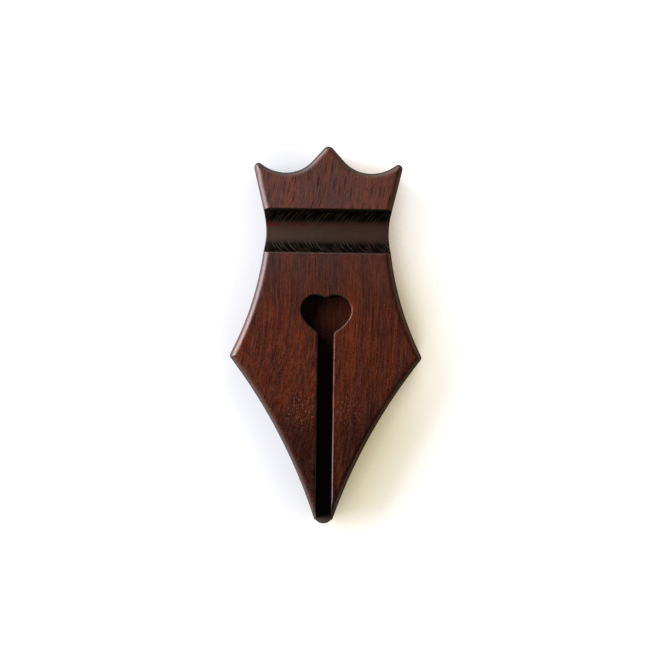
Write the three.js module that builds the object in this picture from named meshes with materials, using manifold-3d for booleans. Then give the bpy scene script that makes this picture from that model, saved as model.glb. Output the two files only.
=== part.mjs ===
// A desk pen rest in the shape of a dip-pen nib, lying on its back: a block carved from one board of dark
// hardwood, with a round-bottomed trough across its neck for the pen, a heart-shaped pocket for the nib's
// breather hole and a slit that runs from the pocket out through the point. Five round rubber feet are
// stuck under it. Millimetres, +Z up, +X to the right, +Y from the point to the crown. The origin is on the
// desk, under the middle of the block.
import * as THREE from 'three';
import { mergeVertices } from 'three/addons/utils/BufferGeometryUtils.js';
import Module from 'manifold-3d';

// The board.
const LENGTH = 121.4; // from the peak of the crown to the end of the point
const BOARD_THICKNESS = 15;
const TOP_ROUNDING = 2.6; // radius routed along the upper edge
const BOTTOM_CHAMFER = 0.6; // edge taken off with sandpaper along the lower edge

// The nib's shoulders, waist and flanks.
const SHOULDER_SPAN = 62; // between the shoulders' corners, before they are rounded
const SHOULDER_HEIGHT = 54; // of those corners, from the end of the point
const SHOULDER_RADIUS = 1.4;
const SIDE_RADIUS = 101; // hollow curve from a shoulder to the waist
const WAIST_WIDTH = 39.8;
const WAIST_HEIGHT = 94; // of the narrowest place, from the end of the point
const WAIST_RADIUS = 34.5; // hollow curve through the narrowest place
const FLANK_RADIUS = 174; // hollow curve from a shoulder to the point
const POINT_RADIUS = 3.2;

// The crown.
const VALLEY_DEPTH = 8.5; // of the crown's two hollows, below the peak
const VALLEY_PEAK_RADIUS = 11.5; // of a hollow, on its side towards the peak
const VALLEY_HORN_RADIUS = 13; // of a hollow, on its side towards the horn
const PEAK_SLOPE = THREE.MathUtils.degToRad(48.3); // of the peak's straight sides
const PEAK_RADIUS = 1.9;
const HORN_LEAN = THREE.MathUtils.degToRad(13.6); // outward, of the straight sides up to the horns
const HORN_RADIUS = 1.4;

// The trough that the pen lies in.
const TROUGH_RADIUS = 7.3;
const TROUGH_DEPTH = 5.5;
const TROUGH_HEIGHT = 94.2; // of its middle, from the end of the point

// The breather hole and the slit, one pocket cut with a flat-ended cutter.
const POCKET_DEPTH = 5;
const SLIT_WIDTH = 4.9;
const SLIT_LENGTH = 61.9; // from the end of the point to where the heart's sides would cut its edges
const SLIT_MOUTH_RADIUS = 0.9; // of the corner between the heart and the slit
const HEART_DROP = 7.2; // from the centres of the heart's two lobes down to the end of the slit
const LOBE_RADIUS = 5.05;
const LOBE_SPACING = 5.8; // between the lobes' centres
const DIP_RADIUS = 2.3; // of the blunt cusp between the lobes
const HEART_SIDE_RADIUS = 14.1; // full curve from a lobe down to the slit
const POCKET_ARRIS = 0.4; // edge taken off round the pocket and the slit

// The feet.
const FOOT_RADIUS = 5;
const FOOT_THICKNESS = 1.5;
const FOOT_ROUNDING = 0.4;
const FOOT_MARGIN = 3.5; // from a foot's rim to the edge of the block
const SHOULDER_FOOT_SETBACK = 11; // from a shoulder's corner to the middle of its foot

// Straight stretches that each curve is drawn with.
const STEPS = {
  point: 9,
  flank: 14,
  shoulder: 7,
  side: 14,
  waist: 10,
  horn: 8,
  hollow: 9,
  peak: 7,
  mouth: 4,
  heartSide: 7,
  lobe: 12,
  dip: 6,
  rounding: 6,
  trough: 96,
  foot: 32,
  footRounding: 4,
};

const CUTTER_CLEARANCE = 2; // from a cutter to the wood that it passes without cutting
const LEAST_CORNER = 0.08; // radius that a corner keeps where the rounding has used it up

const pointEnd = -LENGTH / 2;
const peakEnd = LENGTH / 2;
const underside = FOOT_THICKNESS;
const topFace = underside + BOARD_THICKNESS;

const wasm = await Module();
wasm.setup();

// Where two circles cross; side is +1 or -1, for the crossing to the left or right of the way from a to b.
function crossing(a, radiusA, b, radiusB, side) {
  const across = new THREE.Vector2().subVectors(b, a);
  const distance = across.length();
  across.divideScalar(distance);
  const along = (radiusA ** 2 - radiusB ** 2 + distance ** 2) / (2 * distance);
  const aside = side * Math.sqrt(Math.max(radiusA ** 2 - along ** 2, 0));
  return new THREE.Vector2(
    a.x + along * across.x - aside * across.y,
    a.y + along * across.y + aside * across.x,
  );
}

// Direction, in radians, in which one point is seen from another.
function bearing(from, to) {
  return Math.atan2(to.y - from.y, to.x - from.x);
}

function onCircle(centre, radius, angle) {
  return new THREE.Vector2(centre.x + radius * Math.cos(angle), centre.y + radius * Math.sin(angle));
}

// Points along an arc, without its last one, so that the next stretch can start there.
function arc(centre, radius, start, end, steps) {
  const points = [];
  for (let i = 0; i < steps; i += 1) {
    points.push(onCircle(centre, radius, start + ((end - start) * i) / steps));
  }
  return points;
}

// The fixed centres of the block's hollow curves, right half. The side's curve goes through the shoulder's
// corner and runs on into the waist's; the straight side of the horn leaves the waist's curve at its lean.
const shoulder = new THREE.Vector2(SHOULDER_SPAN / 2, pointEnd + SHOULDER_HEIGHT);
const waistCentre = new THREE.Vector2(WAIST_WIDTH / 2 + WAIST_RADIUS, pointEnd + WAIST_HEIGHT);
const sideCentre = crossing(waistCentre, SIDE_RADIUS - WAIST_RADIUS, shoulder, SIDE_RADIUS, 1);
const hornNormal = new THREE.Vector2(Math.cos(HORN_LEAN), -Math.sin(HORN_LEAN));
const pointCentre = new THREE.Vector2(0, pointEnd + POINT_RADIUS);
const flankCentre = crossing(pointCentre, FLANK_RADIUS + POINT_RADIUS, shoulder, FLANK_RADIUS, -1);

// The crown: the hollow's lowest place is where a straight side of the peak, touching both the peak's
// rounding and the hollow's own curve, brings it.
const valleyY = peakEnd - VALLEY_DEPTH;
const peakNormal = new THREE.Vector2(Math.sin(PEAK_SLOPE), Math.cos(PEAK_SLOPE));
const peakLine = (peakEnd - PEAK_RADIUS) * peakNormal.y + PEAK_RADIUS;
const valleyPeakY = valleyY + VALLEY_PEAK_RADIUS;
const valleyX = (peakLine + VALLEY_PEAK_RADIUS - peakNormal.y * valleyPeakY) / peakNormal.x;
const valleyPeakCentre = new THREE.Vector2(valleyX, valleyPeakY);
const valleyHornCentre = new THREE.Vector2(valleyX, valleyY + VALLEY_HORN_RADIUS);

// The heart, set on the end of the slit: its right lobe, and the centre of the full curve below it.
const slitTop = new THREE.Vector2(SLIT_WIDTH / 2, pointEnd + SLIT_LENGTH);
const lobe = new THREE.Vector2(LOBE_SPACING / 2, slitTop.y + HEART_DROP);
const heartSideCentre = crossing(lobe, HEART_SIDE_RADIUS - LOBE_RADIUS, slitTop, HEART_SIDE_RADIUS, -1);

// Centre of a horn's rounding, which touches the horn's straight side and the hollow beside it, where the
// side is drawn in to touch a waist curve of the radius waist.
function hornCentre(waist, valleyHorn, hornRadius) {
  const start = waistCentre.clone().addScaledVector(hornNormal, -waist - hornRadius);
  const ahead = new THREE.Vector2(-hornNormal.y, hornNormal.x);
  const fromHollow = start.clone().sub(valleyHornCentre);
  const along = fromHollow.dot(ahead);
  const aside = (valleyHorn + hornRadius) ** 2 - fromHollow.lengthSq() + along ** 2;
  return start.addScaledVector(ahead, -along - Math.sqrt(Math.max(aside, 0)));
}

// The block's outline, drawn in from its real edge by inset, counter-clockwise from the end of the point.
// Hollow curves grow by the inset, and rounded corners shrink by it until they are all but sharp. It has as
// many points at every inset.
function blockOutline(inset) {
  const shrunk = (radius) => Math.max(radius - inset, LEAST_CORNER);

  const tipRadius = shrunk(POINT_RADIUS);
  const flank = FLANK_RADIUS + inset;
  const tip = new THREE.Vector2(
    0,
    flankCentre.y + Math.sqrt((flank + tipRadius) ** 2 - flankCentre.x ** 2),
  );
  const shoulderRadius = shrunk(SHOULDER_RADIUS);
  const side = SIDE_RADIUS + inset;
  const corner = crossing(flankCentre, flank + shoulderRadius, sideCentre, side + shoulderRadius, 1);
  const waist = WAIST_RADIUS + inset;
  const hornRadius = shrunk(HORN_RADIUS);
  const valleyHorn = VALLEY_HORN_RADIUS + inset;
  const horn = hornCentre(waist, valleyHorn, hornRadius);
  const peakRadius = shrunk(PEAK_RADIUS);
  const peak = new THREE.Vector2(0, (peakLine - inset - peakRadius) / peakNormal.y);

  const valleyPeak = VALLEY_PEAK_RADIUS + inset;
  const down = -Math.PI / 2;
  const sideStart = 2 * Math.PI + bearing(sideCentre, corner);
  const sideEnd = Math.PI + bearing(waistCentre, sideCentre);

  const half = [
    ...arc(tip, tipRadius, down, bearing(tip, flankCentre), STEPS.point),
    ...arc(flankCentre, flank, bearing(flankCentre, tip), bearing(flankCentre, corner), STEPS.flank),
    ...arc(corner, shoulderRadius, bearing(corner, flankCentre), bearing(corner, sideCentre), STEPS.shoulder),
    ...arc(sideCentre, side, sideStart, sideEnd, STEPS.side),
    ...arc(waistCentre, waist, sideEnd, Math.PI - HORN_LEAN, STEPS.waist),
    onCircle(waistCentre, waist, Math.PI - HORN_LEAN),
    ...arc(horn, hornRadius, -HORN_LEAN, bearing(horn, valleyHornCentre), STEPS.horn),
    ...arc(valleyHornCentre, valleyHorn, bearing(valleyHornCentre, horn), down, STEPS.hollow),
    ...arc(valleyPeakCentre, valleyPeak, down, down - PEAK_SLOPE, STEPS.hollow),
    onCircle(valleyPeakCentre, valleyPeak, down - PEAK_SLOPE),
    ...arc(peak, peakRadius, Math.PI / 2 - PEAK_SLOPE, Math.PI / 2, STEPS.peak),
    onCircle(peak, peakRadius, Math.PI / 2),
  ];
  const otherHalf = half
    .slice(1, -1)
    .reverse()
    .map((point) => new THREE.Vector2(-point.x, point.y));
  return [...half, ...otherHalf];
}

// The outline of the heart and the slit, widened all round by spread, counter-clockwise from the slit's
// open end, which lies past the end of the point.
function pocketOutline(spread) {
  const slitX = SLIT_WIDTH / 2 + spread;
  const lobeRadius = LOBE_RADIUS + spread;
  const mouthRadius = Math.max(SLIT_MOUTH_RADIUS - spread, LEAST_CORNER);
  const dipRadius = Math.max(DIP_RADIUS - spread, LEAST_CORNER);

  // The side's curve takes the lobe in from outside, and the corner at the slit touches it from the wood.
  const heartSide = HEART_SIDE_RADIUS + spread;
  const mouthX = slitX + mouthRadius;
  const mouthReach = Math.sqrt((heartSide + mouthRadius) ** 2 - (mouthX - heartSideCentre.x) ** 2);
  const mouth = new THREE.Vector2(mouthX, heartSideCentre.y - mouthReach);
  const dip = new THREE.Vector2(0, lobe.y + Math.sqrt((lobeRadius + dipRadius) ** 2 - lobe.x ** 2));
  const sideEnd = bearing(heartSideCentre, lobe);

  const half = [
    new THREE.Vector2(slitX, pointEnd - CUTTER_CLEARANCE),
    ...arc(mouth, mouthRadius, Math.PI, bearing(mouth, heartSideCentre), STEPS.mouth),
    ...arc(heartSideCentre, heartSide, bearing(heartSideCentre, mouth), sideEnd, STEPS.heartSide),
    ...arc(lobe, lobeRadius, sideEnd, bearing(lobe, dip), STEPS.lobe),
    ...arc(dip, dipRadius, bearing(dip, lobe), -Math.PI / 2, STEPS.dip),
  ];
  const otherHalf = [...half].reverse().map((point) => new THREE.Vector2(-point.x, point.y));
  return [...half, onCircle(dip, dipRadius, -Math.PI / 2), ...otherHalf];
}

// A closed solid through level rings of points, each with as many points as the others, lowest ring first.
function loft(rings) {
  const count = rings[0].points.length;
  const positions = rings.flatMap(({ points, z }) => points.flatMap((point) => [point.x, point.y, z]));
  const index = [];
  for (let ring = 0; ring + 1 < rings.length; ring += 1) {
    for (let i = 0; i < count; i += 1) {
      const next = (i + 1) % count;
      const a = ring * count + i;
      const b = ring * count + next;
      index.push(a, b, b + count, a, b + count, a + count);
    }
  }
  const top = (rings.length - 1) * count;
  for (const [a, b, c] of THREE.ShapeUtils.triangulateShape(rings[0].points, [])) {
    index.push(a, c, b);
  }
  for (const [a, b, c] of THREE.ShapeUtils.triangulateShape(rings[rings.length - 1].points, [])) {
    index.push(top + a, top + b, top + c);
  }
  const geometry = new THREE.BufferGeometry();
  geometry.setAttribute('position', new THREE.Float32BufferAttribute(positions, 3));
  geometry.setIndex(index);
  return geometry;
}

// A geometry as a solid that can be cut, and back again.
function toSolid(geometry) {
  const bare = geometry.clone();
  bare.deleteAttribute('normal');
  bare.deleteAttribute('uv');
  const merged = mergeVertices(bare, 1e-5);
  return new wasm.Manifold(
    new wasm.Mesh({
      numProp: 3,
      vertProperties: new Float32Array(merged.attributes.position.array),
      triVerts: new Uint32Array(merged.index.array),
    }),
  );
}

function toGeometry(solid) {
  const { vertProperties, triVerts, numProp } = solid.getMesh();
  const geometry = new THREE.BufferGeometry();
  geometry.setAttribute('position', new THREE.BufferAttribute(new Float32Array(vertProperties), numProp));
  geometry.setIndex(new THREE.BufferAttribute(new Uint32Array(triVerts), 1));
  geometry.computeVertexNormals();
  return geometry;
}

// The blank: the sawn outline, with the lower edge eased and the upper edge rounded over.
function blank() {
  const rings = [
    { points: blockOutline(BOTTOM_CHAMFER), z: underside },
    { points: blockOutline(0), z: underside + BOTTOM_CHAMFER },
  ];
  for (let i = 0; i <= STEPS.rounding; i += 1) {
    const angle = (Math.PI / 2) * (i / STEPS.rounding);
    rings.push({
      points: blockOutline(TOP_ROUNDING * (1 - Math.cos(angle))),
      z: topFace - TOP_ROUNDING * (1 - Math.sin(angle)),
    });
  }
  return toSolid(loft(rings));
}

// What the round-nosed cutter takes out across the neck.
function troughCutter() {
  const reach = SHOULDER_SPAN + 2 * CUTTER_CLEARANCE;
  const cutter = new THREE.CylinderGeometry(TROUGH_RADIUS, TROUGH_RADIUS, reach, STEPS.trough);
  cutter.rotateZ(Math.PI / 2);
  cutter.translate(0, pointEnd + TROUGH_HEIGHT, topFace - TROUGH_DEPTH + TROUGH_RADIUS);
  return toSolid(cutter);
}

// What is cut out for the heart and the slit, flaring at the top where the edge is taken off.
function pocketCutter() {
  return toSolid(
    loft([
      { points: pocketOutline(0), z: topFace - POCKET_DEPTH },
      { points: pocketOutline(0), z: topFace - POCKET_ARRIS },
      { points: pocketOutline(POCKET_ARRIS), z: topFace },
      { points: pocketOutline(POCKET_ARRIS), z: topFace + CUTTER_CLEARANCE },
    ]),
  );
}

// A foot: a flat disc with its lower rim rounded off.
function footGeometry() {
  const profile = [new THREE.Vector2(0, 0)];
  for (let i = 0; i <= STEPS.footRounding; i += 1) {
    const angle = (Math.PI / 2) * (i / STEPS.footRounding);
    profile.push(
      new THREE.Vector2(
        FOOT_RADIUS - FOOT_ROUNDING * (1 - Math.sin(angle)),
        FOOT_ROUNDING * (1 - Math.cos(angle)),
      ),
    );
  }
  profile.push(new THREE.Vector2(FOOT_RADIUS, FOOT_THICKNESS), new THREE.Vector2(0, FOOT_THICKNESS));
  const geometry = new THREE.LatheGeometry(profile, STEPS.foot);
  geometry.rotateX(Math.PI / 2);
  return geometry;
}

// The feet's places: under the crown, under the shoulders, and as near the point as the block is wide
// enough for one.
function footPlaces() {
  const inward = FOOT_RADIUS + FOOT_MARGIN;
  const crownX = WAIST_WIDTH / 2 - inward;
  const crownY = valleyY - inward;
  const shoulderX = shoulder.x - SHOULDER_FOOT_SETBACK;
  const tipY = flankCentre.y + Math.sqrt(FLANK_RADIUS ** 2 - (flankCentre.x - inward) ** 2);
  return {
    foot_crown_left: [-crownX, crownY],
    foot_crown_right: [crownX, crownY],
    foot_shoulder_left: [-shoulderX, shoulder.y],
    foot_shoulder_right: [shoulderX, shoulder.y],
    foot_point: [0, tipY],
  };
}

const hardwood = new THREE.MeshStandardMaterial({ color: 0x4a241b, roughness: 0.5, metalness: 0 });
const rubber = new THREE.MeshStandardMaterial({ color: 0x17171a, roughness: 0.85, metalness: 0 });

const penRest = new THREE.Group();

const block = new THREE.Mesh(
  toGeometry(blank().subtract(troughCutter()).subtract(pocketCutter())),
  hardwood,
);
block.name = 'nib_block';
penRest.add(block);

for (const [name, [x, y]] of Object.entries(footPlaces())) {
  const foot = new THREE.Mesh(footGeometry(), rubber);
  foot.name = name;
  foot.position.set(x, y, 0);
  penRest.add(foot);
}

export default penRest;
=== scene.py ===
import math

import bmesh
import bpy
import numpy as np
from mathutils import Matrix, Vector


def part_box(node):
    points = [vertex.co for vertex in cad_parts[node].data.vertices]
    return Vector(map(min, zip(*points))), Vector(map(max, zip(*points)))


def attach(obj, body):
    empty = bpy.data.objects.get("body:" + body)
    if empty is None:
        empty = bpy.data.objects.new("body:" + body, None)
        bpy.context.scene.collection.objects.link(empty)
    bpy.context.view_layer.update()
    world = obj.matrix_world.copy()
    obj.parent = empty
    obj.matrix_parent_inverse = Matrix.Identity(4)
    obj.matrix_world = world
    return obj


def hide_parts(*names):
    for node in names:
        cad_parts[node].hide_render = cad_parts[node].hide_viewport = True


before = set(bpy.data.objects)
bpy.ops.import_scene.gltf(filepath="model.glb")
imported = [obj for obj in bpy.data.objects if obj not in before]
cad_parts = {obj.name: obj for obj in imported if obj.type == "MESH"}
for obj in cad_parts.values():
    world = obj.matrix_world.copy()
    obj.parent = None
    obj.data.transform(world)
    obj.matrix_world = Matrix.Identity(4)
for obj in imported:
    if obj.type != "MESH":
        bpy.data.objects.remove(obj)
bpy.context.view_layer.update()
MM = 0.001

# The nib block. One board of dark, wenge-like hardwood, sawn to the outline of a pen's nib and routed round
# along its upper edge. A round-nosed cutter makes the trough, a straight one the heart and the slit. Then it
# is sanded by hand and oiled. Sizes are in millimetres; a place in plan is a complex number, x + y i.
block_low, block_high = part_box("nib_block")
POINT_END = block_low.y / MM
PEAK_END = block_high.y / MM
UNDERSIDE = block_low.z / MM
TOP = block_high.z / MM

TOP_ROUNDING = 2.6
BOTTOM_ROUNDING = 0.6
SHOULDER = complex(31, POINT_END + 54)  # the sharp corner, before it is rounded
SHOULDER_RADIUS = 1.4
SIDE_RADIUS = 101  # of the hollow side between shoulder and waist
WAIST = complex(19.9, POINT_END + 94)  # where the neck is narrowest
WAIST_RADIUS = 34.5
FLANK_RADIUS = 174  # of the hollow flank between shoulder and point
POINT_RADIUS = 3.2
VALLEY_DEPTH = 8.5  # of the hollow between peak and horn, below the peak's end
VALLEY_PEAK_RADIUS = 11.5  # of that hollow on the peak's side
VALLEY_HORN_RADIUS = 13  # and on the horn's side
PEAK_SLOPE = math.radians(48.3)  # of the short straight stretch beside the peak
PEAK_RADIUS = 1.9
HORN_LEAN = math.radians(13.6)  # of the horn's straight side, outwards
HORN_RADIUS = 1.4
LEAST_CORNER = 0.05  # the radius to which a corner shrinks at most


def crossing(a, radius_a, b, radius_b, side):
    """Where two circles cross: from a, along the way to b turned by the angle that the cosine rule gives
    for the triangle of both radii and the distance. side is +1 to turn left and -1 to turn right."""
    way = b - a
    cosine = (radius_a**2 + abs(way) ** 2 - radius_b**2) / (2 * radius_a * abs(way))
    return a + radius_a * way / abs(way) * np.exp(1j * side * np.arccos(cosine))


def bearing(start, end):
    """The angle, in radians, at which one place in plan is seen from another."""
    return np.angle(end - start)


def arc(centre, radius, start, end, steps):
    """centre + radius e^(i angle), the angle going evenly from start to one step short of end."""
    return centre + radius * np.exp(1j * np.linspace(start, end, steps, endpoint=False))


waist_centre = WAIST + WAIST_RADIUS
side_centre = crossing(waist_centre, SIDE_RADIUS - WAIST_RADIUS, SHOULDER, SIDE_RADIUS, 1)
side_end = math.pi + bearing(waist_centre, side_centre)
horn_normal = np.exp(-1j * HORN_LEAN)
point_centre = 1j * (POINT_END + POINT_RADIUS)
flank_centre = crossing(point_centre, FLANK_RADIUS + POINT_RADIUS, SHOULDER, FLANK_RADIUS, -1)
valley_y = PEAK_END - VALLEY_DEPTH
peak_line = (PEAK_END - PEAK_RADIUS) * math.cos(PEAK_SLOPE) + PEAK_RADIUS
valley_x = peak_line + VALLEY_PEAK_RADIUS - math.cos(PEAK_SLOPE) * (valley_y + VALLEY_PEAK_RADIUS)
valley_x /= math.sin(PEAK_SLOPE)
valley_peak_centre = complex(valley_x, valley_y + VALLEY_PEAK_RADIUS)
valley_horn_centre = complex(valley_x, valley_y + VALLEY_HORN_RADIUS)


def horn_place(waist, valley_horn, horn_radius):
    """The centre of a horn's rounding: on the line beside the horn's straight side, where its distance
    from the hollow's centre is both radii together, which is the root of a quadratic."""
    start = waist_centre - horn_normal * (waist + horn_radius)
    ahead = 1j * horn_normal
    from_hollow = start - valley_horn_centre
    along = (from_hollow * ahead.conjugate()).real
    reach = valley_horn + horn_radius
    return start - ahead * (along + math.sqrt(along**2 - abs(from_hollow) ** 2 + reach**2))


def block_outline(inset):
    """The outline drawn in by inset, counter-clockwise from the end of the point: nine arcs, the straight
    side of a horn and the short straight stretch beside the peak, then their mirror image. A hollow arc
    keeps its centre and grows by the inset. A round corner shrinks by it, down to a least radius, and its
    centre stays where both neighbours touch it."""
    point_radius = max(POINT_RADIUS - inset, LEAST_CORNER)
    shoulder_radius = max(SHOULDER_RADIUS - inset, LEAST_CORNER)
    horn_radius = max(HORN_RADIUS - inset, LEAST_CORNER)
    peak_radius = max(PEAK_RADIUS - inset, LEAST_CORNER)
    flank = FLANK_RADIUS + inset
    side = SIDE_RADIUS + inset
    waist = WAIST_RADIUS + inset
    valley_horn = VALLEY_HORN_RADIUS + inset
    valley_peak = VALLEY_PEAK_RADIUS + inset
    rise = math.sqrt((flank + point_radius) ** 2 - flank_centre.real**2)
    point = 1j * (flank_centre.imag + rise)
    corner = crossing(flank_centre, flank + shoulder_radius, side_centre, side + shoulder_radius, 1)
    horn = horn_place(waist, valley_horn, horn_radius)
    horn_side = horn + horn_radius * horn_normal
    peak = 1j * (peak_line - inset - peak_radius) / math.cos(PEAK_SLOPE)
    up, down, left = math.pi / 2, -math.pi / 2, math.pi
    half = np.concatenate([
        arc(point, point_radius, down, bearing(point, flank_centre), 14),
        arc(flank_centre, flank, bearing(flank_centre, point), bearing(flank_centre, corner), 90),
        arc(corner, shoulder_radius, bearing(corner, flank_centre), bearing(corner, side_centre), 16),
        arc(side_centre, side, 2 * left + bearing(side_centre, corner), side_end, 60),
        arc(waist_centre, waist, side_end, left - HORN_LEAN, 30),
        np.linspace(waist_centre - waist * horn_normal, horn_side, 12, endpoint=False),
        arc(horn, horn_radius, -HORN_LEAN, bearing(horn, valley_horn_centre), 18),
        arc(valley_horn_centre, valley_horn, bearing(valley_horn_centre, horn), down, 24),
        arc(valley_peak_centre, valley_peak, down, down - PEAK_SLOPE, 24),
        [valley_peak_centre + valley_peak * np.exp(1j * (down - PEAK_SLOPE))],
        arc(peak, peak_radius, up - PEAK_SLOPE, up, 12),
        [peak + 1j * peak_radius],
    ])
    return np.concatenate([half, -half[-2:0:-1].conj()])


INSET_STEP = 0.1
INSETS = 34  # enough of them for the widest rounding
inset_table = np.array([block_outline(INSET_STEP * i) for i in range(INSETS)])
round_the_block = np.linspace(0, 2 * math.pi, inset_table.shape[1], endpoint=False)


def drawn_in(inset):
    """The outline drawn in by an inset of its own at each point, between the two nearest outlines of the
    table, in proportion."""
    place = np.broadcast_to(inset, round_the_block.shape) / INSET_STEP
    lower = place.astype(int)
    column = np.arange(len(place))
    share = place - lower
    return inset_table[lower, column] * (1 - share) + inset_table[lower + 1, column] * share


def ring(plan, height):
    """A ring of points, from places in plan and a height for each or for all of them."""
    return np.stack([plan.real, plan.imag, np.broadcast_to(height, plan.shape)], axis=1)


def placed(name, data):
    """A new object of the data, in the scene."""
    made = bpy.data.objects.new(name, data)
    bpy.context.scene.collection.objects.link(made)
    return made


def loft(name, rings):
    """A closed skin through rings of equally many points: four-sided faces between each ring and the next,
    and one flat face on the first ring and on the last. Millimetres become metres here."""
    count, around = len(rings), len(rings[0])
    first = np.arange((count - 1) * around).reshape(count - 1, around)
    second = np.roll(first, -1, axis=1)
    sides = np.stack([first, second, second + around, first + around], axis=-1).reshape(-1, 4)
    last_ring = np.arange((count - 1) * around, count * around)
    faces = sides.tolist() + [list(range(around))[::-1], last_ring.tolist()]
    mesh = bpy.data.meshes.new(name)
    mesh.from_pydata((np.concatenate(rings) * MM).tolist(), [], faces)
    shape = bmesh.new()
    shape.from_mesh(mesh)
    bmesh.ops.recalc_face_normals(shape, faces=shape.faces)
    shape.to_mesh(mesh)
    shape.free()
    return placed(name, mesh)


def step_up(value, low, high):
    """0 below low, 1 above high, and a straight climb between them."""
    return np.clip((value - low) / (high - low), 0, 1)


# Sanding by hand leaves the rounding wider along the crown's sides and tighter in its two hollows and at
# the waist, makes it wave a little all round, and takes a hair off the sides.
CROWN_SIDE_ROUNDING = 2.9
HOLLOW_ROUNDING = 2.1
WAIST_ROUNDING = 2.4
edge = inset_table[0]
crown = step_up(edge.imag, WAIST.imag + 7, WAIST.imag + 14)
hollow = crown * (1 - step_up(abs(edge.real), SHOULDER.real - 9, SHOULDER.real - 6))
waist_share = 1 - step_up(abs(edge.imag - WAIST.imag), 8, 20)
rounding = TOP_ROUNDING + (CROWN_SIDE_ROUNDING - TOP_ROUNDING) * crown
rounding += (HOLLOW_ROUNDING - CROWN_SIDE_ROUNDING) * hollow
rounding += (WAIST_ROUNDING - TOP_ROUNDING) * waist_share * (1 - crown)
slow_wave = 0.06 * np.sin(5 * round_the_block + 0.6)
quick_wave = 0.05 * np.sin(13 * round_the_block)
rounding += (1 - waist_share) * (slow_wave + quick_wave)
sanded_off = 0.01 + 0.01 * np.sin(5 * round_the_block + 1.3)
block_rings = []
for turn in np.linspace(0, math.pi / 2, 6):
    eased = BOTTOM_ROUNDING * (1 - math.sin(turn))
    height = UNDERSIDE + BOTTOM_ROUNDING * (1 - math.cos(turn))
    block_rings.append(ring(drawn_in(sanded_off + eased), height))
for turn in np.linspace(0, math.pi / 2, 17):
    eased = rounding * (1 - math.cos(turn))
    height = TOP - rounding * (1 - math.sin(turn))
    block_rings.append(ring(drawn_in(sanded_off + eased), height))
nib_block = loft("nib_block_wood", block_rings)

TROUGH_RADIUS = 7.3
TROUGH_DEPTH = 5.5
TROUGH_Y = POINT_END + 94.2
TROUGH_LIP = 0.35  # radius of the sanded arris along the trough and at its two mouths
ARRIS_END = math.radians(12)  # slope at which a cutter's arris leaves the wood
ABOVE = 1.5  # how far the cutters stand out of the wood
RUN = 0.3  # how far a cutter's arris runs straight on


def trough_section():
    """The trough's cross-section, as places y + z i and the angle of the cutter's surface at each, from 0
    at the bottom: a circle's arc, then on each side an arc of the lip's radius that touches it and turns
    back towards level, a short run on at its last slope, and a straight rise out of the wood."""
    axis = complex(TROUGH_Y, TOP - TROUGH_DEPTH + TROUGH_RADIUS)
    lip_drop = axis.imag - (TOP - TROUGH_LIP)
    lip_angle = math.acos(lip_drop / (TROUGH_RADIUS + TROUGH_LIP))
    lip = axis + (TROUGH_RADIUS + TROUGH_LIP) * complex(math.sin(lip_angle), -math.cos(lip_angle))
    wall = np.linspace(0, lip_angle, 45)
    lip_turn = np.linspace(lip_angle, ARRIS_END, 11)[1:]
    half = np.concatenate([
        axis + TROUGH_RADIUS * (np.sin(wall) - 1j * np.cos(wall)),
        lip - TROUGH_LIP * (np.sin(lip_turn) - 1j * np.cos(lip_turn)),
    ])
    run = half[-1] + RUN * np.exp(1j * ARRIS_END)
    half = np.concatenate([half, [run, run + 1j * ABOVE]])
    angles = np.concatenate([wall, lip_turn, [ARRIS_END, ARRIS_END]])
    mirrored = 2 * TROUGH_Y - half[:0:-1].conj()
    return np.concatenate([mirrored, half]), np.concatenate([-angles[:0:-1], angles])


def trough_cutter():
    """The section carried along X. Near each side of the block it swells, as the lip does, by r - r cos(t)
    at a depth of r - r sin(t) under the block's side, which is where the side's and the waist's curves and
    the rounding put it at that y and z. The swelling dies out up the rounding."""
    section, angles = trough_section()
    y, z = section.real, section.imag
    below = y < waist_centre.imag + WAIST_RADIUS * math.sin(side_end)
    centre = np.where(below, side_centre, waist_centre)
    radius = np.where(below, SIDE_RADIUS, WAIST_RADIUS)
    side = centre.real - np.sqrt(radius**2 - (y - centre.imag) ** 2)
    climb = np.clip((z - TOP + WAIST_ROUNDING) / WAIST_ROUNDING, 0, 1)
    surface = side - WAIST_ROUNDING * (1 - np.sqrt(1 - climb**2))
    fade = (1 - climb) ** 2
    turn = np.linspace(0, math.pi / 2 - ARRIS_END, 9)
    depth = TROUGH_LIP * (1 - np.sin(turn))
    swell = TROUGH_LIP * (1 - np.cos(turn))
    depth = np.append(depth, depth[-1] - ABOVE * math.tan(ARRIS_END))
    swell = np.append(swell, swell[-1] + ABOVE)
    rings = []
    for side_sign in (-1, 1):
        stations = list(zip(depth, swell))
        for under, grown in stations[::side_sign]:
            rings.append(np.stack([
                side_sign * (surface - under),
                y + grown * fade * np.sin(angles),
                z - grown * fade * np.cos(angles),
            ], axis=1))
    return loft("trough_cutter", rings)


POCKET_DEPTH = 5
POCKET_ARRIS = 0.4
POCKET_SOFTENING = 0.25  # by which sanding widens that arris
SLIT_WIDTH = 4.9
SLIT_END = complex(SLIT_WIDTH / 2, POINT_END + 61.9)
SLIT_MOUTH_RADIUS = 1.7
PRONG_RADIUS = 0.3  # of the two prongs beside the slit, at their ends
LOBE = complex(3.2, SLIT_END.imag + 7.05)
LOBE_RADIUS = 4.8
DIP_RADIUS = 2.3
HEART_SIDE_RADIUS = 14.1
heart_side_centre = crossing(LOBE, HEART_SIDE_RADIUS - LOBE_RADIUS, SLIT_END, HEART_SIDE_RADIUS, -1)


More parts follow.
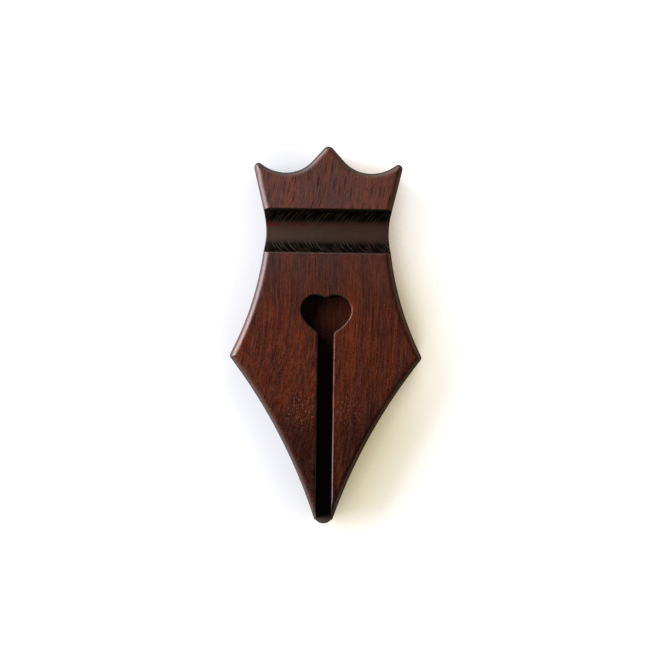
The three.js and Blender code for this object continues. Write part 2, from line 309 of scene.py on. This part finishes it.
def pocket_outline(spread):
    """The heart and the slit, widened by spread, counter-clockwise from outside the point. Up each side go
    the round end of the prong, the straight edge of the slit, its mouth's small corner, the heart's full
    side, its lobe, and half of the blunt cusp between the lobes."""
    edge = SLIT_END.real + spread
    lobe_radius = LOBE_RADIUS + spread
    heart_side = HEART_SIDE_RADIUS + spread
    prong_radius = max(PRONG_RADIUS - spread, LEAST_CORNER)
    mouth_radius = max(SLIT_MOUTH_RADIUS - spread, LEAST_CORNER)
    dip_radius = DIP_RADIUS - spread
    prong_x = edge + prong_radius
    prong_rise = math.sqrt((FLANK_RADIUS + prong_radius) ** 2 - (prong_x - flank_centre.real) ** 2)
    prong = complex(prong_x, flank_centre.imag + prong_rise)
    mouth_x = edge + mouth_radius
    mouth_fall = math.sqrt((heart_side + mouth_radius) ** 2 - (mouth_x - heart_side_centre.real) ** 2)
    mouth = complex(mouth_x, heart_side_centre.imag - mouth_fall)
    dip = 1j * (LOBE.imag + math.sqrt((lobe_radius + dip_radius) ** 2 - LOBE.real**2))
    side_end = bearing(heart_side_centre, LOBE)
    down, left = -math.pi / 2, math.pi
    prong_start = bearing(prong, flank_centre) - ARRIS_END
    run = prong + (prong_radius + 2j * RUN) * np.exp(1j * prong_start)
    half = np.concatenate([
        [complex(run.real, POINT_END - ABOVE), run],
        arc(prong, prong_radius, prong_start, -left, 12),
        [complex(edge, prong.imag)],
        arc(mouth, mouth_radius, left, bearing(mouth, heart_side_centre), 10),
        arc(heart_side_centre, heart_side, bearing(heart_side_centre, mouth), side_end, 24),
        arc(LOBE, lobe_radius, side_end, bearing(LOBE, dip), 44),
        arc(dip, dip_radius, bearing(dip, LOBE), down, 14),
    ])
    return np.concatenate([half, [dip - 1j * dip_radius], -half[::-1].conj()])


def pocket_cutter():
    """The outline of the heart and the slit from the pocket's floor up. Near the top it widens by
    r - r cos(t) at r - r sin(t) below the top face, runs on a little at its last slope, and rises out."""
    arris = POCKET_ARRIS + POCKET_SOFTENING
    rings = [ring(pocket_outline(0), TOP - POCKET_DEPTH)]
    for turn in np.linspace(0, math.pi / 2 - ARRIS_END, 8):
        spread = arris * (1 - math.cos(turn))
        rings.append(ring(pocket_outline(spread), TOP - arris * (1 - math.sin(turn))))
    spread += RUN * math.cos(ARRIS_END)
    out = rings[-1][0, 2] + RUN * math.sin(ARRIS_END)
    rings.append(ring(pocket_outline(spread), out))
    rings.append(ring(pocket_outline(spread), TOP + ABOVE))
    return loft("pocket_cutter", rings)


def cut(piece, cutter):
    """Takes the cutter's shape out of the piece and throws the cutter away."""
    cutting = piece.modifiers.new("cut", "BOOLEAN")
    cutting.operation = "DIFFERENCE"
    cutting.solver = "EXACT"
    cutting.object = cutter
    bpy.context.view_layer.update()
    whole = piece.evaluated_get(bpy.context.evaluated_depsgraph_get())
    mesh = bpy.data.meshes.new_from_object(whole)
    piece.modifiers.clear()
    old = piece.data
    piece.data = mesh
    bpy.data.meshes.remove(old)
    bpy.data.meshes.remove(cutter.data)


CREASE = math.radians(35)  # an edge that turns by more stays sharp


def smooth(piece):
    """Shades the piece smooth, but for its sharp edges, and keeps flat faces flat."""
    piece.data.shade_smooth()
    piece.data.set_sharp_from_angle(angle=CREASE)
    weighted = piece.modifiers.new("flat_faces_stay_flat", "WEIGHTED_NORMAL")
    weighted.keep_sharp = True


cut(nib_block, trough_cutter())
cut(nib_block, pocket_cutter())
smooth(nib_block)


class Finish:
    """The nodes of one finish. feed, set and bump lead a value into an input, and every other method adds
    nodes and gives back an output. A value is a number, a colour or vector, or another node's output."""

    def __init__(self, name):
        self.material = bpy.data.materials.new(name)
        self.material.use_nodes = True
        self.nodes = self.material.node_tree.nodes
        self.links = self.material.node_tree.links
        self.surface = self.nodes["Principled BSDF"]
        coordinates = self.nodes.new("ShaderNodeTexCoord")
        self.place = self.stretched(coordinates.outputs["Object"], 1 / MM, 1 / MM, 1 / MM)
        self.outward = coordinates.outputs["Normal"]

    def feed(self, socket, value):
        if isinstance(value, bpy.types.NodeSocket):
            self.links.new(value, socket)
        else:
            socket.default_value = value

    def set(self, name, value):
        """Feeds one of the surface's own inputs."""
        self.feed(self.surface.inputs[name], value)

    def add(self, kind, inputs, output=0, **settings):
        node = self.nodes.new(kind)
        for name, value in settings.items():
            setattr(node, name, value)
        for key, value in inputs.items():
            self.feed(node.inputs[key], value)
        return node.outputs[output]

    def folded(self, operation, first, others):
        """The first number joined with each of the others in turn."""
        for other in others:
            first = self.add("ShaderNodeMath", {0: first, 1: other}, operation=operation)
        return first

    def sum(self, first, *others):
        return self.folded("ADD", first, others)

    def product(self, first, *others):
        return self.folded("MULTIPLY", first, others)

    def less(self, a, b):
        return self.folded("SUBTRACT", a, [b])

    def most(self, a, b):
        return self.folded("MAXIMUM", a, [b])

    def off(self, value, centre):
        """How far the value is from the centre, to either side."""
        return self.add("ShaderNodeMath", {0: self.less(value, centre)}, operation="ABSOLUTE")

    def swing(self, value, amount):
        """A noise's value, 0 to 1 round a half, as a swing round 0 of that amount."""
        return self.product(self.less(value, 0.5), amount)

    def spread(self, value, low, high, to_low=0.0, to_high=1.0):
        """The value's place between low and high, eased at both, as one between to_low and to_high."""
        inputs = {"Value": value, "From Min": low, "From Max": high, "To Min": to_low, "To Max": to_high}
        return self.add("ShaderNodeMapRange", inputs, interpolation_type="SMOOTHSTEP")

    def fall(self, value, low, high):
        """1 below low, 0 above high, eased between them."""
        return self.spread(value, low, high, 1.0, 0.0)

    def share(self, value, low, high):
        """How far the value lies along the way from low to high, from 0 to 1."""
        return self.add("ShaderNodeMapRange", {"Value": value, "From Min": low, "From Max": high})

    def band(self, value, centre, full, none):
        """1 within full of the centre, 0 beyond none, eased between them."""
        return self.fall(self.off(value, centre), full, none)

    def bent(self, value, points):
        """The value led through a smooth curve of the points, each a value and its result."""
        places, results = zip(*points)
        least, span = min(results), max(results) - min(results)
        curve = self.nodes.new("ShaderNodeFloatCurve")
        line = curve.mapping.curves[0]
        for _ in points[2:]:
            line.points.new(0.5, 0.5)
        for point, (place, result) in zip(line.points, points):
            point.location = ((place - places[0]) / (places[-1] - places[0]), (result - least) / span)
        curve.mapping.update()
        self.feed(curve.inputs["Value"], self.share(value, places[0], places[-1]))
        return self.sum(self.product(curve.outputs[0], span), least)

    def parts(self, vector):
        return self.add("ShaderNodeSeparateXYZ", {0: vector}, output=slice(None))

    def at(self, x, y, z):
        return self.add("ShaderNodeCombineXYZ", {0: x, 1: y, 2: z})

    def stretched(self, place, x, y, z):
        return self.add("ShaderNodeVectorMath", {0: place, 1: (x, y, z)}, operation="MULTIPLY")

    def noise(self, place, detail=2.0, rough=0.5):
        inputs = {"Vector": place, "Scale": 1.0, "Detail": detail, "Roughness": rough}
        return self.add("ShaderNodeTexNoise", inputs)

    def specks(self, place, full, none):
        """1 in a speck in each unit square of the place's x and y, eased off from the radius full to the
        radius none."""
        inputs = {"Vector": place, "Scale": 1.0}
        distance = self.add("ShaderNodeTexVoronoi", inputs, output="Distance", voronoi_dimensions="2D")
        return self.fall(distance, full, none)

    def blend(self, share, a, b):
        """Colour a turning into colour b by the share."""
        return self.add("ShaderNodeMix", {0: share, 6: a, 7: b}, output=2, data_type="RGBA")

    def dimmed(self, colour, factor):
        return self.add("ShaderNodeVectorMath", {0: colour, "Scale": factor}, operation="SCALE")

    def bump(self, height, distance):
        """Tilts the surface by a relief of the height, which is distance metres for a height of 1."""
        relief = self.add("ShaderNodeBump", {"Strength": 1.0, "Distance": distance, "Height": height})
        self.set("Normal", relief)


# Colours of the oiled wood and the places where it differs, as linear red, green and blue.
PLUM_BROWN = (0.054, 0.0120, 0.0085, 1)
RUST_BROWN = (0.088, 0.0150, 0.0036, 1)
DARK_BAND = (0.040, 0.0095, 0.0065, 1)
BRIGHT_STRAND = (0.128, 0.0250, 0.0075, 1)
DEEP_STRAND = (0.024, 0.0066, 0.0052, 1)
GLOWING_STREAK = (0.130, 0.0225, 0.0045, 1)
# a painted sheen, grey over the crown and along the fine threads
PAINTED_SHEEN_GREY = (0.096, 0.077, 0.068, 1)
TROUGH_FLOOR_LEFT = (0.040, 0.027, 0.0150, 1)
TROUGH_FLOOR_RIGHT = (0.042, 0.020, 0.0115, 1)
CUTTER_MARK = (0.072, 0.0085, 0.0075, 1)
PORE = (0.007, 0.0030, 0.0026, 1)
# partly wear, partly a painted highlight on the upper edge
WORN_EDGE_AND_HIGHLIGHT = (0.120, 0.092, 0.080, 1)
END_GRAIN = (0.030, 0.0205, 0.0130, 1)
# nearly black, partly dark oil and partly a painted shade
SOAKED_AND_SHADED_END_GRAIN = (0.0022, 0.0014, 0.0010, 1)
TAN_LAYER = (0.125, 0.074, 0.042, 1)
SHADED_TAN_LAYER = (0.075, 0.043, 0.024, 1)
LIGHT_FLECK = (0.200, 0.098, 0.060, 1)
# a painted grey sheen on the tip of the pocket's floor
PAINTED_TIP_SHEEN = (0.115, 0.090, 0.072, 1)
RELIEF = 0.00005  # height of the pores and ridges, in metres, for a height of 1


def oiled_wenge():
    """Grain that follows the fibres. across is x less the fibres' drift along the board, plus 0.6 of the
    depth, so the growth bands lie slanted in the end grain. The grain's patterns are noise drawn out along
    the fibres, 4 to 44 times. End grain, where the surface faces along Y, soaks up the oil and is dark, and
    in the trough and the pocket it is nearly black, partly a painted shade. Places are in millimetres: x
    and y from the block's middle, depth from its top face."""
    wood = Finish("oiled_wenge")
    x, y, z = wood.parts(wood.place)
    sideways, north, up = wood.parts(wood.outward)
    depth = wood.less(TOP, z)
    aside = wood.off(x, 0.0)

    # Where the surface is: in the trough, in the pocket, or on the arris of the heart and the slit.
    in_trough = wood.product(
        wood.spread(depth, 0.3, 1.6),
        wood.fall(depth, TROUGH_DEPTH + 0.3, TROUGH_DEPTH + 0.7),
        wood.band(y, TROUGH_Y, 7.2, 7.6),
        wood.fall(wood.off(sideways, 0.0), 0.45, 0.75),
    )
    heart_part = wood.product(wood.fall(aside, 8.3, 8.6), wood.spread(y, -2.0, 0.0))
    in_pocket = wood.product(
        wood.most(heart_part, wood.fall(aside, 2.6, 2.9)),
        wood.fall(y, 23.0, 24.0),
        wood.spread(depth, 0.8, 2.0),
        wood.fall(depth, POCKET_DEPTH + 0.3, POCKET_DEPTH + 0.7),
    )
    heart_edge = wood.product(
        wood.fall(aside, 10.0, 11.0),
        wood.band(y, 11.0, 12.0, 13.0),
        wood.fall(up, 0.9, 0.99),
    )
    slit_edge = wood.product(
        wood.band(aside, 2.8, 0.5, 0.8),
        wood.spread(y, -38.0, -20.0, 0.45, 1.0),
        wood.fall(y, 0.0, 3.0),
    )
    pocket_edge = wood.product(wood.most(heart_edge, slit_edge), wood.fall(depth, 1.0, 1.5))

    # The fibres lean left towards the point, most on the left, and right up the crown, and wander a little.
    low_drift = wood.bent(y, ((-60, -11.0), (-38, -7.4), (-15, -2.9), (0, 0.0), (20, 0.1), (60, 0.0)))
    high_drift = wood.bent(y, ((-60, 0.0), (0, 0.0), (12, 0.3), (30, 0.1), (45, 2.0), (60, 4.2)))
    drift = wood.sum(wood.product(low_drift, wood.spread(x, -14.0, 10.0, 1.15, 0.3)), high_drift)
    wander = wood.noise(wood.stretched(wood.place, 0.06, 0.022, 0.05), 1.0)
    ripple = wood.noise(wood.stretched(wood.place, 0.5, 0.09, 0.5), 1.0)
    across = wood.sum(
        wood.less(x, drift), wood.product(depth, 0.6), wood.swing(wander, 1.2), wood.swing(ripple, 0.35)
    )
    fibre = wood.at(across, y, wood.less(wood.product(x, 0.5), depth))
    broad = wood.noise(wood.stretched(fibre, 0.22, 0.010, 0.1), 2.0)
    bands = wood.noise(wood.stretched(fibre, 0.8, 0.018, 0.12), 2.0, 0.6)
    strands = wood.noise(wood.stretched(fibre, 2.1, 0.055, 2.1), 3.0, 0.62)
    threads = wood.noise(wood.stretched(fibre, 3.3, 0.12, 3.3), 2.0, 0.6)
    hairs = wood.noise(wood.stretched(fibre, 4.2, 0.5, 4.2), 2.0, 0.6)
    grit = wood.noise(wood.stretched(wood.place, 5.5, 4.0, 5.5), 1.0)
    mottle = wood.noise(wood.stretched(wood.place, 2.3, 1.7, 2.3), 2.0, 0.6)

    # Colour along the grain. Below the trough the strands stand out more, and some streaks glow red.
    body = wood.fall(y, 10.0, 30.0)
    colour = wood.blend(wood.spread(broad, 0.38, 0.62), PLUM_BROWN, RUST_BROWN)
    colour = wood.blend(wood.spread(bands, 0.46, 0.62, 0.0, 0.8), colour, DARK_BAND)
    bright = wood.product(wood.spread(strands, 0.44, 0.66), wood.sum(wood.product(body, 0.35), 0.45))
    colour = wood.blend(bright, colour, BRIGHT_STRAND)
    deep = wood.product(wood.fall(strands, 0.32, 0.48), wood.sum(wood.product(body, 0.3), 0.35))
    colour = wood.blend(deep, colour, DEEP_STRAND)
    point_glow = wood.product(wood.band(x, 4.9, 0.5, 1.6), wood.fall(y, -34.0, -28.0))
    left_glow = wood.product(wood.band(across, -8.5, 1.2, 3.4), wood.band(y, -11.0, 10.0, 16.0))
    right_glow = wood.product(wood.band(across, 8.5, 0.8, 2.6), wood.band(y, 2.0, 12.0, 20.0))
    glow = wood.product(wood.most(left_glow, right_glow), wood.spread(strands, 0.3, 0.6, 0.2, 0.7))
    colour = wood.blend(wood.most(glow, wood.product(point_glow, 0.8)), colour, GLOWING_STREAK)

    # Tone. The point is darkest. The crown and its horns are palest, a painted sheen, and the left, towards
    # the window, is a little lighter, painted light. The fine grain speckles all of it.
    tone = wood.bent(
        y, ((-60, 0.40), (-36, 0.44), (-17, 0.88), (0, 0.98), (20, 0.87), (42, 1.20), (60, 1.26))
    )
    dark_patch = wood.product(wood.band(x, -8.0, 1.5, 6.0), wood.band(y, -35.0, 5.0, 11.0))
    # the horns' paleness is part of the crown's painted sheen
    pale_horns = wood.product(wood.spread(aside, 5.0, 15.0), wood.spread(y, 30.0, 42.0, 0.0, 0.17))
    point_mottle = wood.sum(wood.product(wood.fall(y, -6.0, 6.0), 1.5), 0.4)
    speckle = wood.sum(
        wood.swing(mottle, point_mottle),
        wood.swing(threads, 1.7),
        wood.swing(hairs, 1.2),
        wood.swing(grit, 2.2),
    )
    tone = wood.product(
        wood.most(tone, wood.product(point_glow, 0.52)),
        wood.less(1.0, wood.product(dark_patch, 0.25)),
        wood.sum(pale_horns, 1.0),
        # lighter towards the window on the left: painted light
        wood.spread(x, -24.0, 24.0, 1.05, 0.95),
        wood.sum(speckle, 1.0),
    )
    colour = wood.dimmed(colour, tone)
    # A painted sheen: grey over the crown and along the fine threads and grit.
    painted_sheen = wood.sum(
        wood.spread(y, 4.0, 46.0, 0.0, 0.18),
        wood.product(wood.spread(grit, 0.5, 0.72), 0.12),
        wood.product(wood.spread(threads, 0.5, 0.72), 0.17),
    )
    colour = wood.blend(painted_sheen, colour, PAINTED_SHEEN_GREY)

    # The cuts. The cutter left a red mark along the trough's floor, which is darker on its side towards the
    # point. The pocket is darkened, a painted shade, most in the slit and less on the heart's left, where
    # painted light lifts it.
    trough_floor = wood.blend(wood.spread(x, -6.0, 12.0), TROUGH_FLOOR_LEFT, TROUGH_FLOOR_RIGHT)
    trough_floor = wood.dimmed(trough_floor, wood.spread(y, 29.5, 34.0, 0.35, 1.0))
    colour = wood.blend(wood.product(in_trough, 0.8), colour, trough_floor)
    marks = wood.noise(wood.stretched(wood.place, 0.3, 1.1, 0.5), 2.0)
    tool_mark = wood.product(
        in_trough,
        wood.band(y, 36.1, 0.4, 1.5),
        wood.spread(marks, 0.42, 0.6),
        wood.spread(x, -6.0, 6.0, 0.95, 0.4),
    )
    colour = wood.blend(tool_mark, colour, CUTTER_MARK)
    # Painted light on the heart's left, where its wall casts shade.
    painted_light_heart_left = wood.product(heart_part, wood.spread(x, -4.0, 1.0, -0.8, 0.0))
    # A painted shade darkens the pocket, most in the slit.
    painted_pocket_shade = wood.product(wood.spread(y, -12.0, 6.0, 0.8, 0.45), wood.sum(1.0, painted_light_heart_left))
    colour = wood.dimmed(colour, wood.less(1.0, wood.product(in_pocket, painted_pocket_shade)))

    # Pores, long ones in the crown and short ticks all over.
    pores = wood.specks(wood.stretched(fibre, 0.9, 1 / 15, 1.0), 0.09, 0.19)
    pores = wood.product(pores, wood.spread(y, 8.0, 40.0, 0.35, 1.0))
    ticks = wood.specks(wood.stretched(fibre, 1.6, 0.4, 1.0), 0.12, 0.24)
    pitted = wood.product(wood.most(pores, wood.product(ticks, 0.45)), wood.less(1.0, in_trough))
    colour = wood.blend(wood.product(pitted, 0.92), colour, PORE)

    # Wear along the upper edge, lighter and greyer, which is partly a painted highlight: less on the
    # pocket's arris, and less on the right, away from the window.
    worn_and_lit = wood.product(
        wood.fall(up, 0.75, 0.97),
        wood.fall(depth, 1.8, 3.0),
        wood.less(1.0, in_trough),
        wood.spread(hairs, 0.25, 0.7, 0.15, 0.5),
        wood.less(1.0, wood.product(pocket_edge, 0.7)),
        wood.spread(x, -8.0, 8.0, 1.0, 0.5),
    )
    colour = wood.blend(worn_and_lit, colour, WORN_EDGE_AND_HIGHLIGHT)

    # End grain, with the growth layers as tan lines across it.
    end = wood.spread(wood.off(north, 0.0), 0.28, 0.58)
    slant = wood.sum(wood.less(x, drift), wood.product(depth, 0.95))
    bends = wood.noise(wood.at(wood.product(slant, 0.4), wood.product(y, 0.03), 0.0), 1.0)
    phase = wood.sum(wood.product(slant, 0.9), wood.product(bends, 1.7))
    layer = wood.add("ShaderNodeMath", {0: phase}, operation="FRACT")
    present = wood.noise(wood.at(wood.product(slant, 0.7), wood.product(depth, 0.3), 5.0), 1.0)
    tan = wood.product(
        wood.band(layer, 0.5, 0.03, 0.15),
        wood.spread(present, 0.43, 0.58),
        wood.most(wood.spread(y, 34.0, 36.0, 0.7, 0.0), wood.spread(depth, 1.0, 2.6)),
    )
    # In the trough and the pocket the end grain is nearly black: dark oil and a painted shade.
    soaked_and_shaded = wood.most(in_trough, wood.product(in_pocket, 0.75))
    soaked = wood.blend(soaked_and_shaded, END_GRAIN, SOAKED_AND_SHADED_END_GRAIN)
    tan_colour = wood.blend(soaked_and_shaded, TAN_LAYER, SHADED_TAN_LAYER)
    colour = wood.blend(end, colour, wood.blend(tan, soaked, tan_colour))

    # Light flecks left and right of the slit, and a painted grey sheen on the end of the pocket's floor at
    # the point.
    fleck_zone = wood.at(wood.less(aside, 7.4), wood.less(y, -23.5), 0.0)
    fleck_reach = wood.add("ShaderNodeVectorMath", {0: fleck_zone}, output="Value", operation="LENGTH")
    flecks = wood.noise(wood.stretched(wood.place, 2.4, 1.5, 2.4), 1.0)
    flecks = wood.product(
        wood.spread(flecks, 0.58, 0.69),
        wood.spread(fleck_reach, 2.5, 8.0, 1.0, 0.12),
        wood.spread(x, -4.0, 4.0, 0.62, 0.42),
        wood.fall(depth, 0.5, 2.0),
    )
    colour = wood.blend(flecks, colour, LIGHT_FLECK)
    # A painted grey sheen on the end of the pocket's floor at the point.
    tip_sheen = wood.product(wood.fall(y, -59.6, -57.5), wood.band(depth, 5.2, 0.9, 2.4))
    colour = wood.blend(tip_sheen, colour, PAINTED_TIP_SHEEN)
    wood.set("Base Color", colour)

    # Gloss. Handling polished the point more than the crown. The gloss fades at a low angle, where the
    # window's reflection would otherwise turn the whole top face white.
    rough = wood.sum(
        wood.spread(y, -15.0, 46.0, 0.22, 0.385),
        wood.spread(hairs, 0.3, 0.7, 0.03, -0.03),
        wood.product(end, 0.14),
    )
    wood.set("Roughness", rough)
    dull = wood.most(wood.product(end, in_trough, 0.42), wood.product(pocket_edge, 0.38))
    low_angle = wood.add("ShaderNodeLayerWeight", {"Blend": 0.5}, output="Facing")
    gloss = wood.product(wood.less(0.5, dull), wood.spread(low_angle, 0.3, 0.62, 1.0, 0.03))
    wood.set("Specular IOR Level", gloss)
    uneven = wood.noise(wood.stretched(wood.place, 0.35, 0.06, 0.35), 2.0)
    relief = wood.sum(
        wood.product(strands, 0.3),
        wood.product(hairs, 0.15),
        wood.product(grit, 0.06),
        wood.product(uneven, 0.7),
    )
    wood.bump(wood.less(relief, wood.product(pitted, 0.12)), RELIEF)
    return wood.material


nib_block.data.materials.append(oiled_wenge())
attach(nib_block, "root")
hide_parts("nib_block")

# The feet. Five round feet of black rubber, moulded with a soft lower rim and a shallow ring round the
# middle of their tread, each held to the wood by a film of adhesive a little smaller than the foot.
RIM = 0.4
FILM = 0.14  # thickness of the adhesive, and how far it stays back from the foot's edge
TREAD = 2.4  # radius of the tread's middle
RING_WIDTH = 1.0
RING_DEPTH = 0.25
BLACK_RUBBER = (0.0095, 0.0095, 0.0110, 1)
RUBBER_BLOOM = (0.020, 0.020, 0.022, 1)
ADHESIVE = (0.36, 0.33, 0.25, 1)
PIT_DEPTH = 0.00004  # in metres


def rubber(film_height):
    """Matt black rubber with a fine pitted skin and a grey bloom, and above film_height pale adhesive."""
    skin = Finish("foot_rubber")
    height = skin.parts(skin.place)[2]
    cloud = skin.noise(skin.stretched(skin.place, 0.5, 0.5, 0.5), 3.0, 0.6)
    pits = skin.noise(skin.stretched(skin.place, 9.0, 9.0, 9.0), 2.0, 0.6)
    colour = skin.blend(skin.spread(cloud, 0.35, 0.7), BLACK_RUBBER, RUBBER_BLOOM)
    film = skin.spread(height, film_height - 0.005, film_height + 0.005)
    colour = skin.blend(film, colour, ADHESIVE)
    skin.set("Base Color", colour)
    skin.set("Roughness", skin.spread(cloud, 0.3, 0.7, 0.68, 0.84))
    skin.bump(pits, PIT_DEPTH)
    return skin.material


def foot_profile(radius, thickness):
    """Radius and height of each ring: the tread's middle, the moulded ring with its two sloping sides, the
    outer tread, the rim as a quarter circle, the straight side, and the film that stands back from it."""
    slope = RING_DEPTH / 2
    outer = TREAD + RING_WIDTH
    profile = [(TREAD, 0), (TREAD + slope, RING_DEPTH), (outer - slope, RING_DEPTH), (outer, 0)]
    for turn in np.linspace(0, math.pi / 2, 8):
        profile.append((radius - RIM * (1 - math.sin(turn)), RIM * (1 - math.cos(turn))))
    film_base = thickness - FILM
    return profile + [(radius, film_base), (radius - FILM, film_base), (radius - FILM, thickness)]


foot_finish = rubber(UNDERSIDE - FILM)
for name in sorted(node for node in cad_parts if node.startswith("foot_")):
    low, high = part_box(name)
    centre = complex(low.x + high.x, low.y + high.y) / 2 / MM
    profile = foot_profile((high.x - low.x) / 2 / MM, high.z / MM)
    foot = loft(name + "_rubber", [ring(arc(centre, r, 0, 2 * math.pi, 96), h) for r, h in profile])
    smooth(foot)
    foot.data.materials.append(foot_finish)
    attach(foot, "root")
    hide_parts(name)

# The floor. A plain white sheet of paper that the block lies on. Toward the camera only it glows a little
# itself with a painted shadow, so that the block's shadow on it stays pale: cool on the window's side, warm
# on the other, and weakest by the crown. To other rays it is paper painted with a cool bounce on the
# window's side and a warm one on the other.
HALF_SIDE = 2.0  # half the sheet's side, in metres
SHADE_REACH = 0.05  # how far out the block hides the sky from the paper, in metres
OPEN_PAPER = (1.0, 1.0, 1.0, 1)
COOL_SHADE = (0.34, 0.38, 0.40, 1)
COOL_HALF_SHADE = (0.44, 0.455, 0.475, 1)
WARM_SHADE = (0.31, 0.24, 0.14, 1)
WARM_HALF_SHADE = (0.92, 0.85, 0.71, 1)
CROWN_SHADE = (0.55, 0.47, 0.39, 1)
CROWN_HALF_SHADE = (0.97, 0.94, 0.89, 1)
POINT_HALF_SHADE = (0.74, 0.67, 0.47, 1)
COOL_BOUNCE = (0.80, 0.83, 0.87, 1)
WARM_BOUNCE = (0.78, 0.62, 0.42, 1)
GREY_PAPER = (0.42, 0.42, 0.42, 1)
floor_mesh = bpy.data.meshes.new("floor")
corners = HALF_SIDE * np.array([(-1, -1, 0), (1, -1, 0), (1, 1, 0), (-1, 1, 0)])
floor_mesh.from_pydata(corners.tolist(), [], [(0, 1, 2, 3)])
floor = placed("floor", floor_mesh)
paper = Finish("white_paper")
paper.set("Roughness", 0.9)
paper.set("Specular IOR Level", 0.1)
open_sky = paper.add("ShaderNodeAmbientOcclusion", {"Distance": SHADE_REACH}, output="AO", samples=8)
right, ahead = paper.parts(paper.place)[:2]
far_side = paper.spread(right, -15.0, 15.0)
crown_side = paper.spread(ahead, 5.0, 50.0)
warm_shade = paper.blend(crown_side, WARM_SHADE, CROWN_SHADE)
shade = paper.blend(far_side, COOL_SHADE, warm_shade)
warm_half_shade = paper.blend(crown_side, WARM_HALF_SHADE, CROWN_HALF_SHADE)
warm_half_shade = paper.blend(paper.fall(ahead, -40.0, -8.0), warm_half_shade, POINT_HALF_SHADE)
half_shade = paper.blend(far_side, COOL_HALF_SHADE, warm_half_shade)
# The glow is a painted shadow, darker where the block hides more of the sky.
painted_shadow_glow = paper.blend(paper.share(open_sky, 0.5, 0.73), shade, half_shade)
painted_shadow_glow = paper.blend(paper.share(open_sky, 0.83, 0.98), painted_shadow_glow, OPEN_PAPER)
paper.set("Emission Color", painted_shadow_glow)
seen = paper.add("ShaderNodeLightPath", {}, output="Is Camera Ray")
paper.set("Emission Strength", seen)
# A painted bounce: to rays other than the camera's, the paper is tinted cool on the window's side and warm
# on the other.
bounce = paper.blend(far_side, COOL_BOUNCE, WARM_BOUNCE)
paper.set("Base Color", paper.blend(seen, bounce, GREY_PAPER))
floor_mesh.materials.append(paper.material)

# The light. A big window at the upper left, a low strip of sky beyond the crown, and a weak warm bounce from
# the right. The room is dim, but white where the camera looks past the paper.
LIGHT_DISTANCE = 1.0  # in metres, as the lights' widths and heights are
DIM_ROOM = (0.030, 0.027, 0.0216, 1)
WHITE_ROOM = (1.0, 1.0, 1.0, 1)


def soft_light(name, azimuth, elevation, width, height, radiance, colour):
    """A rectangular light that faces the block, from a compass direction (0 is +Y, 90 is +X) and a height
    above the horizon. Its power is radiance times pi times its area."""
    lamp = bpy.data.lights.new(name, "AREA")
    lamp.shape = "RECTANGLE"
    lamp.size = width
    lamp.size_y = height
    lamp.energy = radiance * math.pi * width * height
    lamp.color = colour
    light = placed(name, lamp)
    a, e = math.radians(azimuth), math.radians(elevation)
    level = LIGHT_DISTANCE * math.cos(e)
    light.location = (level * math.sin(a), level * math.cos(a), LIGHT_DISTANCE * math.sin(e))
    light.rotation_euler = (math.pi / 2 - e, 0, math.pi - a)
    light.visible_camera = False


soft_light("window", 288, 25, width=1.3, height=0.76, radiance=11.0, colour=(0.95, 0.94, 1.0))
soft_light("north_sky", 355, 9, width=1.1, height=0.24, radiance=4.6, colour=(1.0, 0.98, 0.90))
soft_light("lamp_bounce", 95, 12, width=1.2, height=0.36, radiance=0.9, colour=(1.0, 0.64, 0.32))

world = bpy.data.worlds.new("room")
world.use_nodes = True
room = world.node_tree
ray = room.nodes.new("ShaderNodeLightPath")
wall = room.nodes.new("ShaderNodeMix")
wall.data_type = "RGBA"
wall.inputs[6].default_value = DIM_ROOM
wall.inputs[7].default_value = WHITE_ROOM
room.links.new(ray.outputs["Is Camera Ray"], wall.inputs[0])
room.links.new(wall.outputs[2], room.nodes["Background"].inputs["Color"])
bpy.context.scene.world = world
bpy.context.scene.view_settings.view_transform = "Standard"

# The camera. It looks straight down from 303 mm above the desk, a little beyond the block's middle, and is
# turned by less than a degree, as the photograph's is.
SENSOR_WIDTH = 36
FOCAL_LENGTH = 49.86
CAMERA_PLACE = (-0.35, 3.56, 302.84)
CAMERA_TURN = math.radians(0.84)
lens = bpy.data.cameras.new("camera")
lens.sensor_width = SENSOR_WIDTH
lens.lens = FOCAL_LENGTH
camera = placed("camera", lens)
camera.location = [value * MM for value in CAMERA_PLACE]
camera.rotation_euler = (0, 0, CAMERA_TURN)
bpy.context.scene.camera = camera
